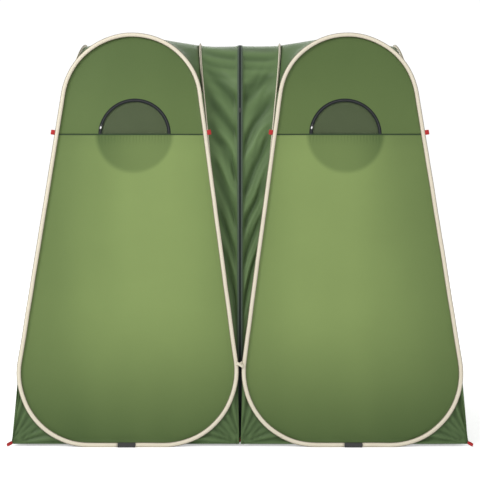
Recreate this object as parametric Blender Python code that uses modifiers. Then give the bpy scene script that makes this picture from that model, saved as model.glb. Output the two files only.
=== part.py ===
"""Two-room pop-up privacy shower tent, in metres, +Z up, front facing -Y.

Each room is a square frustum of four spring-steel hoops. The front, back and outer hoops carry a
fabric wall. The inner hoops of the two rooms are joined by a passage cover, with a divider curtain
on the tent's middle plane. The origin is on the ground at the middle of the tent.
"""

import math

import bmesh
import bpy
from mathutils import Matrix, Vector

# Driving dimensions
HOOP_HEIGHT = 1.92  # along the leaning panel
CORNER_RADIUS = 0.33  # both the round top and the two bottom corners of a hoop
FRONT_HALF = 0.505
SHRINK = 0.03  # the back and side hoops have this much less radius than the front ones
ROOM_CENTRE = 0.52
PLANES = {"front": 0.548, "back": 0.548, "outer": 0.53, "inner": 0.505}  # room centre to hoop
APEX_HEIGHT = 4.367  # where the four planes of a room meet
APEX_SHIFT = 0.068  # from the room's centre towards the middle of the tent
SLEEVE_RADIUS = 0.0095
FABRIC = 0.0015
GAP = 0.0005
SKIRT_FOOT = 0.003  # the skirts end this far above the lowest hoop centre line
FERRULE_HALF = 0.04
FERRULE_WIDTH = 0.015
GUY_HEIGHT = 1.445
COVER_INSET = 0.006  # the passage cover sits this far inside the inner hoops

# Windows in the front walls
WINDOW_HEIGHT = 1.437  # the window's straight lower edge, along the panel
WINDOW_RADIUS = 0.155
WINDOW_OFFSET = -0.016  # from the panel's middle, towards the outside of the tent
ZIP_WIDTH = 0.018

# Doors in the outer walls
DOOR_HALF = 0.25
DOOR_FOOT = 0.12
DOOR_HEIGHT = 1.62
DOOR_LAP = 0.02

# How far the fold axes sit from the hoop planes at the ground
CLOSING_OFFSET = 0.03
OPENING_OUT = 0.019
OPENING_IN = 0.0215

ARC_STEPS = 14
CORNER_STEPS = 7

CORNER_CENTRE = FRONT_HALF - CORNER_RADIUS
BACK_HALF = FRONT_HALF - SHRINK
WALL_OFFSET = SLEEVE_RADIUS + GAP + FABRIC / 2
LIFT = Vector((0, 0, SLEEVE_RADIUS))  # shapes are worked out from the lowest hoop centre line


def clear_scene():
    for obj in list(bpy.data.objects):
        bpy.data.objects.remove(obj)


def new_collection(name):
    collection = bpy.data.collections.new(name)
    bpy.context.scene.collection.children.link(collection)
    return collection


def new_material(name, colour, roughness, metallic=0.0):
    material = bpy.data.materials.new(name)
    material.use_nodes = True
    shader = material.node_tree.nodes["Principled BSDF"]
    shader.inputs["Base Color"].default_value = (*colour, 1.0)
    shader.inputs["Roughness"].default_value = roughness
    shader.inputs["Metallic"].default_value = metallic
    return material


clear_scene()
TENT = new_collection("privacy_shower_tent")
LIGHT_GREEN = (0.20, 0.30, 0.09)
DARK_GREEN = (0.07, 0.13, 0.05)
CREAM = (0.82, 0.76, 0.62)
BLACK = (0.02, 0.02, 0.022)
RED = (0.65, 0.05, 0.05)
MESH_GREEN = (0.09, 0.12, 0.05)
WHITE = (0.85, 0.85, 0.85)


def add_empty(name, spot):
    empty = bpy.data.objects.new(name, None)
    empty.location = spot + LIFT
    empty.empty_display_size = 0.05
    TENT.objects.link(empty)
    bpy.context.view_layer.update()
    return empty


def place(obj, matrix, parent, colour, roughness):
    """Puts obj at a world matrix under its body's empty, with a material of its own."""
    TENT.objects.link(obj)
    obj.parent = parent
    obj.matrix_parent_inverse = parent.matrix_world.inverted()
    obj.matrix_basis = Matrix.Translation(LIFT) @ matrix
    obj.data.materials.append(new_material(obj.name, colour, roughness))
    return obj


def lean_of(side):
    """How far a hoop's plane leans in, so that it passes through the apex."""
    shift = {"inner": -APEX_SHIFT, "outer": APEX_SHIFT}.get(side, 0)
    return math.atan2(PLANES[side] + shift, APEX_HEIGHT)


def plane_at(side, height):
    """How far a hoop's plane is from the room's centre at a height."""
    return PLANES[side] - height * math.tan(lean_of(side))


def panel(room, side):
    """The frame of a leaning panel: X along the ground, Y up the slope, Z out of the tent."""
    centre = room * ROOM_CENTRE
    tilt = lean_of(side)
    lean, rise = math.sin(tilt), math.cos(tilt)
    if side in ("front", "back"):
        out = -1 if side == "front" else 1
        across = Vector((-out, 0, 0))
        up = Vector((0, -out * lean, rise))
        origin = Vector((centre, out * PLANES[side], 0))
    else:
        out = room if side == "outer" else -room
        across = Vector((0, out, 0))
        up = Vector((-out * lean, 0, rise))
        origin = Vector((centre + out * PLANES[side], 0, 0))
    columns = (across, up, across.cross(up), origin)
    return Matrix([[column[row] for column in columns] for row in range(3)] + [[0, 0, 0, 1]])


def arc(centre, radius, start, stop, steps):
    """Points along an arc, with its angles in degrees."""
    angles = [math.radians(start + (stop - start) * i / steps) for i in range(steps + 1)]
    return [(centre[0] + radius * math.cos(a), centre[1] + radius * math.sin(a)) for a in angles]


def hoop_shape(side):
    """A hoop's corner centres (half apart, low and high), radius and tangent angle in degrees."""
    radius = CORNER_RADIUS if side == "front" else CORNER_RADIUS - SHRINK
    foot = SHRINK if side in ("inner", "outer") else 0
    low, high = foot + radius, HOOP_HEIGHT - CORNER_RADIUS
    return low, high, radius, math.degrees(math.atan2(CORNER_CENTRE, high - low))


def top_arc(side, inset=0.0):
    """The round top of a hoop, from its right tangent point to its left one."""
    _, high, radius, tilt = hoop_shape(side)
    return arc((0, high), radius - inset, tilt, 180 - tilt, ARC_STEPS)


def hoop_path(side):
    """A hoop's centre line, open at the bottom where the ferrule joins the steel's ends."""
    low, _, radius, tilt = hoop_shape(side)
    right = arc((CORNER_CENTRE, low), radius, -90, tilt, CORNER_STEPS)
    left = [(-x, y) for x, y in reversed(right)]
    ends = FERRULE_HALF + GAP
    return [(ends, low - radius), *right, *top_arc(side), *left, (-ends, low - radius)]


def tube(name, points, radius, matrix, parent, colour, roughness=0.6, closed=False):
    """A round tube along a path."""
    curve = bpy.data.curves.new(name, "CURVE")
    curve.dimensions = "3D"
    curve.bevel_depth = radius
    curve.bevel_resolution = 1
    curve.use_fill_caps = not closed
    spline = curve.splines.new("POLY")
    spline.points.add(len(points) - 1)
    for point, spot in zip(spline.points, points):
        point.co = (*spot, 0, 1) if len(spot) == 2 else (*spot, 1)
    spline.use_cyclic_u = closed
    spline.use_smooth = True
    return place(bpy.data.objects.new(name, curve), matrix, parent, colour, roughness)


def sheet(name, outlines, matrix, parent, colour, offset=0.0, thickness=FABRIC, roughness=0.7):
    """A flat sheet from closed outlines: the first is its edge, and the others are holes."""
    curve = bpy.data.curves.new(name, "CURVE")
    curve.dimensions = "2D"
    curve.fill_mode = "BOTH"
    curve.extrude = thickness / 2
    for outline in outlines:
        spline = curve.splines.new("POLY")
        spline.points.add(len(outline) - 1)
        for point, (x, y) in zip(spline.points, outline):
            point.co = (x, y, 0, 1)
        spline.use_cyclic_u = True
    lifted = matrix @ Matrix.Translation((0, 0, offset))
    return place(bpy.data.objects.new(name, curve), lifted, parent, colour, roughness)


def block(name, size, matrix, parent, colour, roughness=0.4, round_off=0.001):
    """A small moulded block with rounded edges."""
    mesh = bpy.data.meshes.new(name)
    shape = bmesh.new()
    bmesh.ops.create_cube(shape, size=1.0)
    bmesh.ops.scale(shape, vec=size, verts=shape.verts)
    shape.to_mesh(mesh)
    shape.free()
    obj = place(bpy.data.objects.new(name, mesh), matrix, parent, colour, roughness)
    bevel = obj.modifiers.new("Edges", "BEVEL")
    bevel.width = round_off
    bevel.segments = 1
    return obj


def fabric_shell(name, rows, parent, colour, cap_top=False, wrap=False):
    """A sheet through rows of points."""
    mesh = bpy.data.meshes.new(name)
    shape = bmesh.new()
    grid = [[shape.verts.new(point) for point in row] for row in rows]
    for lower, upper in zip(grid, grid[1:]):
        spans = len(lower) if wrap else len(lower) - 1
        for i in range(spans):
            j = (i + 1) % len(lower)
            shape.faces.new((lower[i], lower[j], upper[j], upper[i]))
    if cap_top:
        shape.faces.new(grid[-1])
    bmesh.ops.recalc_face_normals(shape, faces=shape.faces)
    shape.to_mesh(mesh)
    shape.free()
    obj = place(bpy.data.objects.new(name, mesh), Matrix(), parent, colour, 0.7)
    solid = obj.modifiers.new("Thickness", "SOLIDIFY")
    solid.thickness = FABRIC
    solid.offset = 0.0
    return obj


def add_hoop(room, word, side, body):
    """The sewn sleeve with its spring steel, and the ferrule that joins the steel's ends."""
    frame = panel(room, side)
    low, _, radius, _ = hoop_shape(side)
    tube(f"{word}_{side}_hoop", hoop_path(side), SLEEVE_RADIUS, frame, body, CREAM)
    across = frame.to_3x3() @ Vector((2 * FERRULE_HALF, 0, 0))
    size = [max(abs(across.x), FERRULE_WIDTH), max(abs(across.y), FERRULE_WIDTH), 2 * SLEEVE_RADIUS]
    spot = frame @ Vector((0, low - radius, 0))
    block(f"{word}_{side}_ferrule", size, Matrix.Translation(spot), body, BLACK)


def wall_outline(side, right_foot, left_foot):
    """The hoop's round top and sloping sides, with a skirt that runs down to the ground."""
    low, _, radius, _ = hoop_shape(side)
    half = CORNER_CENTRE + radius
    skirt = [(-half, low), (-left_foot, SKIRT_FOOT)]
    skirt += [(right_foot, SKIRT_FOOT), (half, low)]
    return top_arc(side) + skirt


def half_disc(centre, radius, lower=False, steps=ARC_STEPS):
    """A half disc above its straight edge, or below it."""
    turn = 180 if lower else 0
    return arc(centre, radius, turn, turn + 180, steps)


def add_window(room, word, body):
    """A mesh window under a zipped flap. The flap is shown open, hanging inside the wall."""
    frame = panel(room, "front")
    middle = (room * WINDOW_OFFSET, WINDOW_HEIGHT)
    behind = -WALL_OFFSET - FABRIC - GAP
    lap = (middle[0], middle[1] - 0.008)
    mesh_outline = half_disc(lap, WINDOW_RADIUS + 0.012)
    sheet(f"{word}_window_mesh", [mesh_outline], frame, body, MESH_GREEN, behind)

    outer = half_disc(middle, WINDOW_RADIUS + ZIP_WIDTH)
    inner = half_disc(middle, WINDOW_RADIUS)
    in_front = -WALL_OFFSET + FABRIC + GAP
    tape = outer + inner[::-1]
    sheet(f"{word}_window_zip", [tape], frame, body, BLACK, in_front)

    hinge = (middle[0], middle[1] - 0.012, behind - FABRIC - GAP)
    flap_body = add_empty(f"{word}_flap_axis", frame @ Vector(hinge))
    flap = half_disc((hinge[0], hinge[1] - 0.002), WINDOW_RADIUS + 0.01, lower=True)
    sheet(f"{word}_window_flap", [flap], frame, flap_body, DARK_GREEN, hinge[2])

    track = WINDOW_RADIUS + ZIP_WIDTH / 2
    angle = math.radians(166)
    slider_height = in_front + FABRIC + GAP + 0.0015
    spot = (middle[0] + track * math.cos(angle), middle[1] + track * math.sin(angle), slider_height)
    slider_body = add_empty(f"{word}_window_slider_axis", frame @ Vector((*middle, slider_height)))
    turned = frame @ Matrix.Translation(spot) @ Matrix.Rotation(angle, 4, "Z")
    block(f"{word}_window_slider", (0.010, 0.020, 0.003), turned, slider_body, WHITE)


def door_outline(margin):
    """An arched door, wider at its foot."""
    half = DOOR_HALF + margin
    top = DOOR_HEIGHT - DOOR_HALF
    dome = arc((0, top), half, 0, 180, ARC_STEPS)
    return dome + [(-half, DOOR_FOOT - margin), (half, DOOR_FOOT - margin)]


def add_door(room, word, body):
    """The door flap laps over the opening from outside and hinges on its back edge."""
    frame = panel(room, "outer")
    back = room  # the panel's X runs towards the front on the left room and the back on the right
    outside = -WALL_OFFSET + FABRIC + GAP
    edge = back * (DOOR_HALF + DOOR_LAP)
    door_body = add_empty(f"{word}_door_axis", frame @ Vector((edge, DOOR_FOOT, outside)))
    sheet(f"{word}_door_flap", [door_outline(DOOR_LAP)], frame, door_body, DARK_GREEN, outside)

    track = -back * (DOOR_HALF + DOOR_LAP + 0.004 + ZIP_WIDTH / 2)
    foot, top = DOOR_FOOT, DOOR_HEIGHT - DOOR_HALF
    low, high = sorted((track - ZIP_WIDTH / 2, track + ZIP_WIDTH / 2))
    tape = [(low, foot), (high, foot), (high, top), (low, top)]
    sheet(f"{word}_door_zip", [tape], frame, body, BLACK, outside)
    slider_height = outside + FABRIC + GAP + 0.0015
    slider_at = frame @ Matrix.Translation((track, top - 0.02, slider_height))
    slider_body = add_empty(f"{word}_door_slider_axis", slider_at.translation)
    block(f"{word}_door_slider", (0.010, 0.022, 0.003), slider_at, slider_body, BLACK)


def add_roof(room, word, body):
    """The fabric from the four round hoop tops to the flat top of a room."""
    clear = 0.016
    centre = room * ROOM_CENTRE
    _, top, radius, _ = hoop_shape("inner")
    rise = math.cos(lean_of("inner"))
    steps = 6
    rows = []
    for i in range(steps + 1):
        angle = math.radians(10 + 68 * i / steps)
        height = (top + radius * math.sin(angle)) * rise
        half = radius * math.cos(angle)
        deep = plane_at("front", height) - clear
        reach = {-room: plane_at("inner", height) - clear, room: plane_at("outer", height) - clear}
        left, right = (min(half, reach[end] - 0.004) for end in (-1, 1))
        ends = min(half, deep - 0.004)
        plan = [(-left, -deep), (right, -deep), (reach[1], -ends), (reach[1], ends)]
        plan += [(right, deep), (-left, deep), (-reach[-1], ends), (-reach[-1], -ends)]
        rows.append([(centre + x, y, height) for x, y in plan])
    fabric_shell(f"{word}_roof", rows, body, DARK_GREEN, cap_top=True, wrap=True)


def loop(name, spot, turn, parent):
    """A short loop of webbing at a corner of the tent."""
    ring = arc((0, 0), 0.013, 0, 330, 11)
    matrix = Matrix.Translation(spot) @ Matrix.Rotation(turn, 4, "Z") @ Matrix.Rotation(1.2, 4, "X")
    tube(name, ring, 0.0022, matrix, parent, RED, 0.7, closed=True)


def add_guy_loops(room, word, body):
    """Two red tabs at the shoulders of a front hoop."""
    frame = panel(room, "front")
    low, _, radius, tilt = hoop_shape("front")
    slope = math.radians(tilt)
    edge = CORNER_CENTRE + radius / math.cos(slope) - (GUY_HEIGHT - low) * math.tan(slope)
    for side, label in ((room, "outer"), (-room, "inner")):
        middle = side * (edge + SLEEVE_RADIUS + GAP + 0.009)
        spot = frame @ Matrix.Translation((middle, GUY_HEIGHT, 0)) @ Matrix.Rotation(side * slope, 4, "Z")
        block(f"{word}_{label}_guy_loop", (0.016, 0.024, 0.003), spot, body, RED, 0.7)


def fold_axis(room, where):
    """Where a fold axis meets the ground. All of a room's axes meet at the apex above it."""
    centre = room * ROOM_CENTRE
    inner = -room
    spots = {
        "front_inner": (PLANES["inner"] - CLOSING_OFFSET, CLOSING_OFFSET - PLANES["front"]),
        "front_outer": (-(PLANES["outer"] + OPENING_OUT), OPENING_IN - PLANES["front"]),
        "back_inner": (PLANES["inner"] + OPENING_OUT, PLANES["back"] - OPENING_IN),
    }
    across, deep = spots[where]
    return Vector((centre + inner * across, deep, 0))


def add_room(room, word, middle):
    """One room: its hoops, walls, window, door, roof and webbing."""
    front = add_empty(f"{word}_front_axis", fold_axis(room, "front_inner"))
    outer = add_empty(f"{word}_outer_axis", fold_axis(room, "front_outer"))
    back = add_empty(f"{word}_back_axis", fold_axis(room, "back_inner"))
    for side, body in (("front", front), ("back", back), ("outer", outer), ("inner", middle)):
        add_hoop(room, word, side, body)

    feet = {room: FRONT_HALF + 0.024, -room: FRONT_HALF - 0.015}
    window = half_disc((room * WINDOW_OFFSET, WINDOW_HEIGHT), WINDOW_RADIUS - 0.006)
    outline = wall_outline("front", feet[1], feet[-1])
    sheet(f"{word}_front_wall", [outline, window], panel(room, "front"), front, LIGHT_GREEN, -WALL_OFFSET)

    # The back panel's X runs the other way, so its right foot is on the other side.
    feet = {-room: BACK_HALF + 0.02, room: BACK_HALF - 0.02}
    outline = wall_outline("back", feet[1], feet[-1])
    sheet(f"{word}_back_wall", [outline], panel(room, "back"), back, LIGHT_GREEN, -WALL_OFFSET)

    foot = FRONT_HALF - SHRINK
    outline = wall_outline("outer", foot, foot)
    holes = [outline, door_outline(0)]
    sheet(f"{word}_outer_wall", holes, panel(room, "outer"), outer, LIGHT_GREEN, -WALL_OFFSET)

    add_window(room, word, front)
    add_door(room, word, outer)
    add_roof(room, word, middle)
    add_guy_loops(room, word, front)
    reach = room * (ROOM_CENTRE + FRONT_HALF + 0.024)
    loop(f"{word}_front_peg_loop", (reach + room * 0.008, -PLANES["front"] - 0.004, 0.006), 0.8 * room, front)
    reach = room * (ROOM_CENTRE + BACK_HALF + 0.02)
    loop(f"{word}_back_peg_loop", (reach, PLANES["back"] + 0.006, 0.006), -0.8 * room, back)


def passage_path(inset):
    """The front-to-back line over the inner hoops, as (y, z) from the front ground to the back."""
    low, _, radius, _ = hoop_shape("inner")
    half = CORNER_CENTRE + radius - inset
    rise = math.cos(lean_of("inner"))
    over = [(-x, y * rise) for x, y in top_arc("inner", inset)]
    return [(-half, SKIRT_FOOT), (-half, low * rise), *over, (half, low * rise), (half, SKIRT_FOOT)]


def add_middle(middle):
    """What joins the two rooms: passage cover, divider, zip, slider, ties and loops."""
    rows = []
    for y, z in passage_path(COVER_INSET):
        inner = ROOM_CENTRE - plane_at("inner", z)
        half = inner - SLEEVE_RADIUS / math.cos(lean_of("inner")) - 2 * GAP
        rows.append([(-half, y, z), (half, y, z)])
    fabric_shell("passage_cover", rows, middle, DARK_GREEN)

    upright = Matrix(((0, 0, 1, 0), (1, 0, 0, 0), (0, 1, 0, 0), (0, 0, 0, 1)))
    divider = passage_path(COVER_INSET + 0.006)
    sheet("divider_curtain", [divider], upright, middle, DARK_GREEN)

    front_line = passage_path(COVER_INSET - 2 * FABRIC)[: 2 + ARC_STEPS // 2]
    tape = [[(-0.007, y, z), (0.007, y, z)] for y, z in front_line]
    fabric_shell("centre_zip", tape, middle, BLACK)

    low, high = Vector((0, *front_line[1])), Vector((0, *front_line[2]))
    along = (high - low).normalized()
    out = Vector((1, 0, 0)).cross(along)
    slider_at = high - along * 0.08 + out * (FABRIC + GAP + 0.0015)
    slider_body = add_empty("centre_slider_axis", slider_at)
    columns = (Vector((1, 0, 0)), along, out, slider_at)
    matrix = Matrix([[column[row] for column in columns] for row in range(3)] + [[0, 0, 0, 1]])
    block("centre_zip_slider", (0.012, 0.026, 0.003), matrix, slider_body, BLACK)

    reach = plane_at("front", CORNER_RADIUS) + 0.014
    near = -front_line[1][0] + FABRIC / 2 + GAP
    tie_at = Matrix.Translation((0, -(reach + near) / 2, CORNER_RADIUS + 0.03))
    block("hoop_tie", (0.007, reach - near, 0.04), tie_at, middle, CREAM, 0.8)

    near = -front_line[0][0] + 0.02
    loop("front_centre_peg_loop", (0, -near, 0.006), 0, middle)
    loop("back_centre_peg_loop", (0, near, 0.006), 0, middle)


MIDDLE = add_empty("tent_middle", Vector())
add_room(-1, "left", MIDDLE)
add_room(1, "right", MIDDLE)
add_middle(MIDDLE)
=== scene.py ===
"""The looks of the two-room pop-up privacy shower tent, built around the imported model."""

import math

import bmesh
import bpy
import numpy as np
from mathutils import Matrix, Vector, noise


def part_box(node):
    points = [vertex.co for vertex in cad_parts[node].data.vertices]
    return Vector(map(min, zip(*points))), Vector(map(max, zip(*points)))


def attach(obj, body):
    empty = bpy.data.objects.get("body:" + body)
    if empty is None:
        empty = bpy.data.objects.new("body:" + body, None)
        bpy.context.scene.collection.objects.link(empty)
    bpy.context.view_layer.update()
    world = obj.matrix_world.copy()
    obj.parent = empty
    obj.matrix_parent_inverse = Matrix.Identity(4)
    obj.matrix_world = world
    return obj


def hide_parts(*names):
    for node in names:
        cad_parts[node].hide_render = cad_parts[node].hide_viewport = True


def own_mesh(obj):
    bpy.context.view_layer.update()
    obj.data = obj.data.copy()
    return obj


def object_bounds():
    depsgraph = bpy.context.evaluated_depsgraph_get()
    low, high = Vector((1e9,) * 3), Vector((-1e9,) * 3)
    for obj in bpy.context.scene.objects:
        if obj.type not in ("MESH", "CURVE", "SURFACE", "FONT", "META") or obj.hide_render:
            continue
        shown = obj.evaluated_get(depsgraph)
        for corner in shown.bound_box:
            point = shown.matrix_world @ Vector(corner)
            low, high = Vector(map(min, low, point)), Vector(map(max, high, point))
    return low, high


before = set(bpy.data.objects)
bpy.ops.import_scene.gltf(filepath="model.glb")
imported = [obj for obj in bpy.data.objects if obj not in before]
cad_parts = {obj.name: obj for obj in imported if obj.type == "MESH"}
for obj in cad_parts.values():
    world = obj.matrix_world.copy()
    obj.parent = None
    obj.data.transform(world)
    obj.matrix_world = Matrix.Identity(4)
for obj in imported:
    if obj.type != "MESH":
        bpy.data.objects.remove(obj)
cad_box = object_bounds()

ROOMS = ((-1, "left"), (1, "right"))

# Fabric and webbing
SLEEVE_HALF = 0.0104  # half the sewn sleeve's width across the hoop's plane
SLEEVE_THICK = 0.0052
SLEEVE_LAP = 0.004  # how far inside the hoop's centre line a wall's rim runs
CORNER_RADIUS = 0.33  # a front hoop's round top and bottom corners, which no box tells
FABRIC_THICK = 0.0009
NET_THICK = 0.0006
TAPE_THICK = 0.0012
THREAD_PITCH = 0.0011
NET_PITCH = 0.0022
WAVE_BANDS = 3.1831  # bands a metre that the wave texture shows at a scale of 1
WALL_FOOT = 0.006
FLAP_HINGE_DROP = 0.012  # the window flap's hinge below the seam
ZIP_HALF = 0.008
FRONT_BULGE = 0.002
# How far each layer lies inside its hoop's plane
WALL_DEPTH = -0.0106
RIM_RISE = 0.0066  # at its rim the wall rises into the sleeve
TAPE_LIFT = 0.0013
NET_DEPTH = -0.0128
FLAP_DEPTH = -0.0148
DOOR_DEPTH = -0.0088
STRIP_DEPTH = -0.0035
ROOF_TUCK = 0.0045
ROOF_SAG = 0.026
ROOF_SPAN = 14  # points along each side of a roof's ring
END_LABELS = {1: "a", -1: "b"}
WORLD_LIGHT = 0.70
MIDDLE_GAP = 0.003  # each front skirt stops this far from the tent's middle


# ---------------------------------------------------------------- the frame's own measures

def spans(node):
    """A node's lowest corner, highest corner and size."""
    low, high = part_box(node)
    return low, high, high - low


SLEEVE_RADIUS = spans("left_front_ferrule")[2].z / 2
CORNER_CENTRE = spans("left_front_hoop")[2].x / 2 - SLEEVE_RADIUS - CORNER_RADIUS
ROOM_CENTRE = abs(sum(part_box("left_front_hoop"), Vector()).x) / 2


class Panel:
    """A hoop's plane, with u along the ground, v up its slope from its lowest centre line, and w outwards."""

    def __init__(self, room, word, side):
        low, high, size = spans(f"{word}_{side}_hoop")
        self.room, self.word, self.side = room, word, side
        self.name = f"{word}_{side}"
        self.body = "middle" if side == "inner" else self.name
        along = 0 if side in ("front", "back") else 1
        self.along = along
        depth = 1 - along
        tall, deep = size.z - 2 * SLEEVE_RADIUS, size[depth] - 2 * SLEEVE_RADIUS
        self.height = math.hypot(tall, deep)
        lean = math.atan2(deep, tall)
        self.half = size[along] / 2 - SLEEVE_RADIUS
        self.radius = self.half - CORNER_CENTRE
        out = {"front": -1, "back": 1, "outer": room, "inner": -room}[side]
        self.out = out
        self.low, self.high = self.radius, self.height - self.radius
        self.tilt = math.atan2(CORNER_CENTRE, self.high - self.low)
        foot = (high if out > 0 else low)[depth] - out * SLEEVE_RADIUS
        origin = Vector((0, 0, low.z + SLEEVE_RADIUS))
        origin[along] = (low[along] + high[along]) / 2
        origin[depth] = foot
        across, up = Vector(), Vector()
        across[along] = -out if along == 0 else out
        up[depth] = -out * math.sin(lean)
        up.z = math.cos(lean)
        normal = across.cross(up)
        self.origin, self.across, self.up, self.normal = origin, across, up, normal

    def at(self, u, v, w=0.0):
        return self.origin + self.across * u + self.up * v + self.normal * w

    def width(self, v):
        """Half the hoop's width at a height up the panel."""
        if v < self.low + self.radius * math.sin(self.tilt):
            drop = min(self.radius, self.low - v)
            return CORNER_CENTRE + math.sqrt(max(0.0, self.radius ** 2 - drop ** 2))
        if v > self.high + self.radius * math.sin(self.tilt):
            rise = min(self.radius, v - self.high)
            return math.sqrt(max(0.0, self.radius ** 2 - rise ** 2))
        base = CORNER_CENTRE + self.radius / math.cos(self.tilt)
        return base - (v - self.low) * math.tan(self.tilt)

    def loop(self, inset=0.0, fine=1):
        """Points round the hoop from the bottom's middle, anticlockwise seen from outside."""
        radius = self.radius - inset
        right, top = (CORNER_CENTRE, self.low), (0, self.high)
        a = self.tilt
        points = [(CORNER_CENTRE * i / 6, self.low - radius) for i in range(6)]
        points += arc(right, radius, -math.pi / 2, a, 22 * fine)
        ends = (points[-1], arc(top, radius, a, a, 1)[0])
        points += [lerp2(*ends, i / (22 * fine)) for i in range(1, 22 * fine)]
        half = arc(top, radius, a, math.pi / 2, 22 * fine)
        points += half
        mirrored = [(-u, v) for u, v in reversed(points[1:-1])]
        return points + mirrored


def lerp2(a, b, t):
    return (a[0] + (b[0] - a[0]) * t, a[1] + (b[1] - a[1]) * t)


def arc(centre, radius, start, stop, steps):
    turn = [start + (stop - start) * i / steps for i in range(steps + 1)]
    return [(centre[0] + radius * math.cos(t), centre[1] + radius * math.sin(t)) for t in turn]


def smooth(x, low, high):
    t = min(1.0, max(0.0, (x - low) / (high - low)))
    return t * t * (3 - 2 * t)


PANELS = {(w, s): Panel(r, w, s) for r, w in ROOMS for s in ("front", "back", "outer", "inner")}

WINDOW_LOW, WINDOW_HIGH, _ = spans("left_window_zip")
WINDOW_RADIUS = (WINDOW_HIGH.x - WINDOW_LOW.x) / 2
FRONT_PANEL = PANELS["left", "front"]
SEAM = (WINDOW_LOW.z - FRONT_PANEL.origin.z) / FRONT_PANEL.up.z
WINDOW_SHIFT = -(WINDOW_LOW.x + WINDOW_HIGH.x) / 2 - ROOM_CENTRE  # outwards from the panel's middle


# ---------------------------------------------------------------- mesh helpers

def make(name, points, faces, material, glow=None, coords=None):
    """A smooth mesh object with optional per-point attributes, which its material reads."""
    mesh = bpy.data.meshes.new(name)
    mesh.from_pydata([tuple(p) for p in points], [], faces)
    mesh.update()
    if glow is not None:
        layer = mesh.attributes.new("glow", "FLOAT", "POINT")
        layer.data.foreach_set("value", np.array(glow, np.float32))
    if coords is not None:
        layer = mesh.attributes.new("cloth", "FLOAT_VECTOR", "POINT")
        flat = np.array([(u, v, 0.0) for u, v in coords], np.float32).ravel()
        layer.data.foreach_set("vector", flat)
    mesh.shade_smooth()
    obj = bpy.data.objects.new(name, mesh)
    bpy.context.scene.collection.objects.link(obj)
    mesh.materials.append(material)
    return obj


def grid_faces(rows, columns, wrap=False):
    faces = []
    for i in range(rows - 1):
        for j in range(columns if wrap else columns - 1):
            k = (j + 1) % columns
            faces.append((i * columns + j, i * columns + k, (i + 1) * columns + k, (i + 1) * columns + j))
    return faces


def thicken(obj, thickness):
    solid = obj.modifiers.new("Thickness", "SOLIDIFY")
    solid.thickness = thickness
    solid.offset = 0.0
    return obj


def finish_piece(obj, body, slot, *nodes):
    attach(obj, body)
    if nodes:
        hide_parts(*nodes)
    return obj


def cloth_sheet(name, rows, material, thickness=FABRIC_THICK, extra_faces=()):
    """Thin cloth from rows of (point, glow, cloth coordinates), every row of one length."""
    points, light, coords = zip(*[sample for row in rows for sample in row])
    faces = grid_faces(len(rows), len(rows[0])) + list(extra_faces)
    obj = make(name, points, faces, material, glow=light, coords=coords)
    fix_normals(obj)
    return thicken(obj, thickness)


def sweep(name, line, section, material, closed=False):
    """A closed section swept along a line of (point, side, lift) frames, with its ends capped."""
    points, cloth = [], []
    travelled, last = 0.0, None
    for spot, side, lift in line:
        travelled += (spot - last).length if last is not None else 0.0
        last = spot
        for a, b in section:
            points.append(spot + side * a + lift * b)
            cloth.append((travelled, a))
    count = len(section)
    base = (len(line) - 1) * count
    faces = grid_faces(len(line), count, wrap=True)
    if closed:
        faces += [(base + j, base + (j + 1) % count, (j + 1) % count, j) for j in range(count)]
    else:
        faces.append(tuple(reversed(range(count))))
        faces.append(tuple(base + j for j in range(count)))
    obj = make(name, points, faces, material, coords=cloth)
    fix_normals(obj)
    return obj


def fix_normals(obj):
    shape = bmesh.new()
    shape.from_mesh(obj.data)
    bmesh.ops.recalc_face_normals(shape, faces=shape.faces)
    shape.to_mesh(obj.data)
    shape.free()


def oval(half_width, half_height, count=14, square=2.6):
    """A rounded flat section."""
    section = []
    for i in range(count):
        t = 2 * math.pi * i / count
        c, s = math.cos(t), math.sin(t)
        power = 2 / square
        section.append((half_width * math.copysign(abs(c) ** power, c),
                        half_height * math.copysign(abs(s) ** power, s)))
    return section


# ---------------------------------------------------------------- materials

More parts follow.
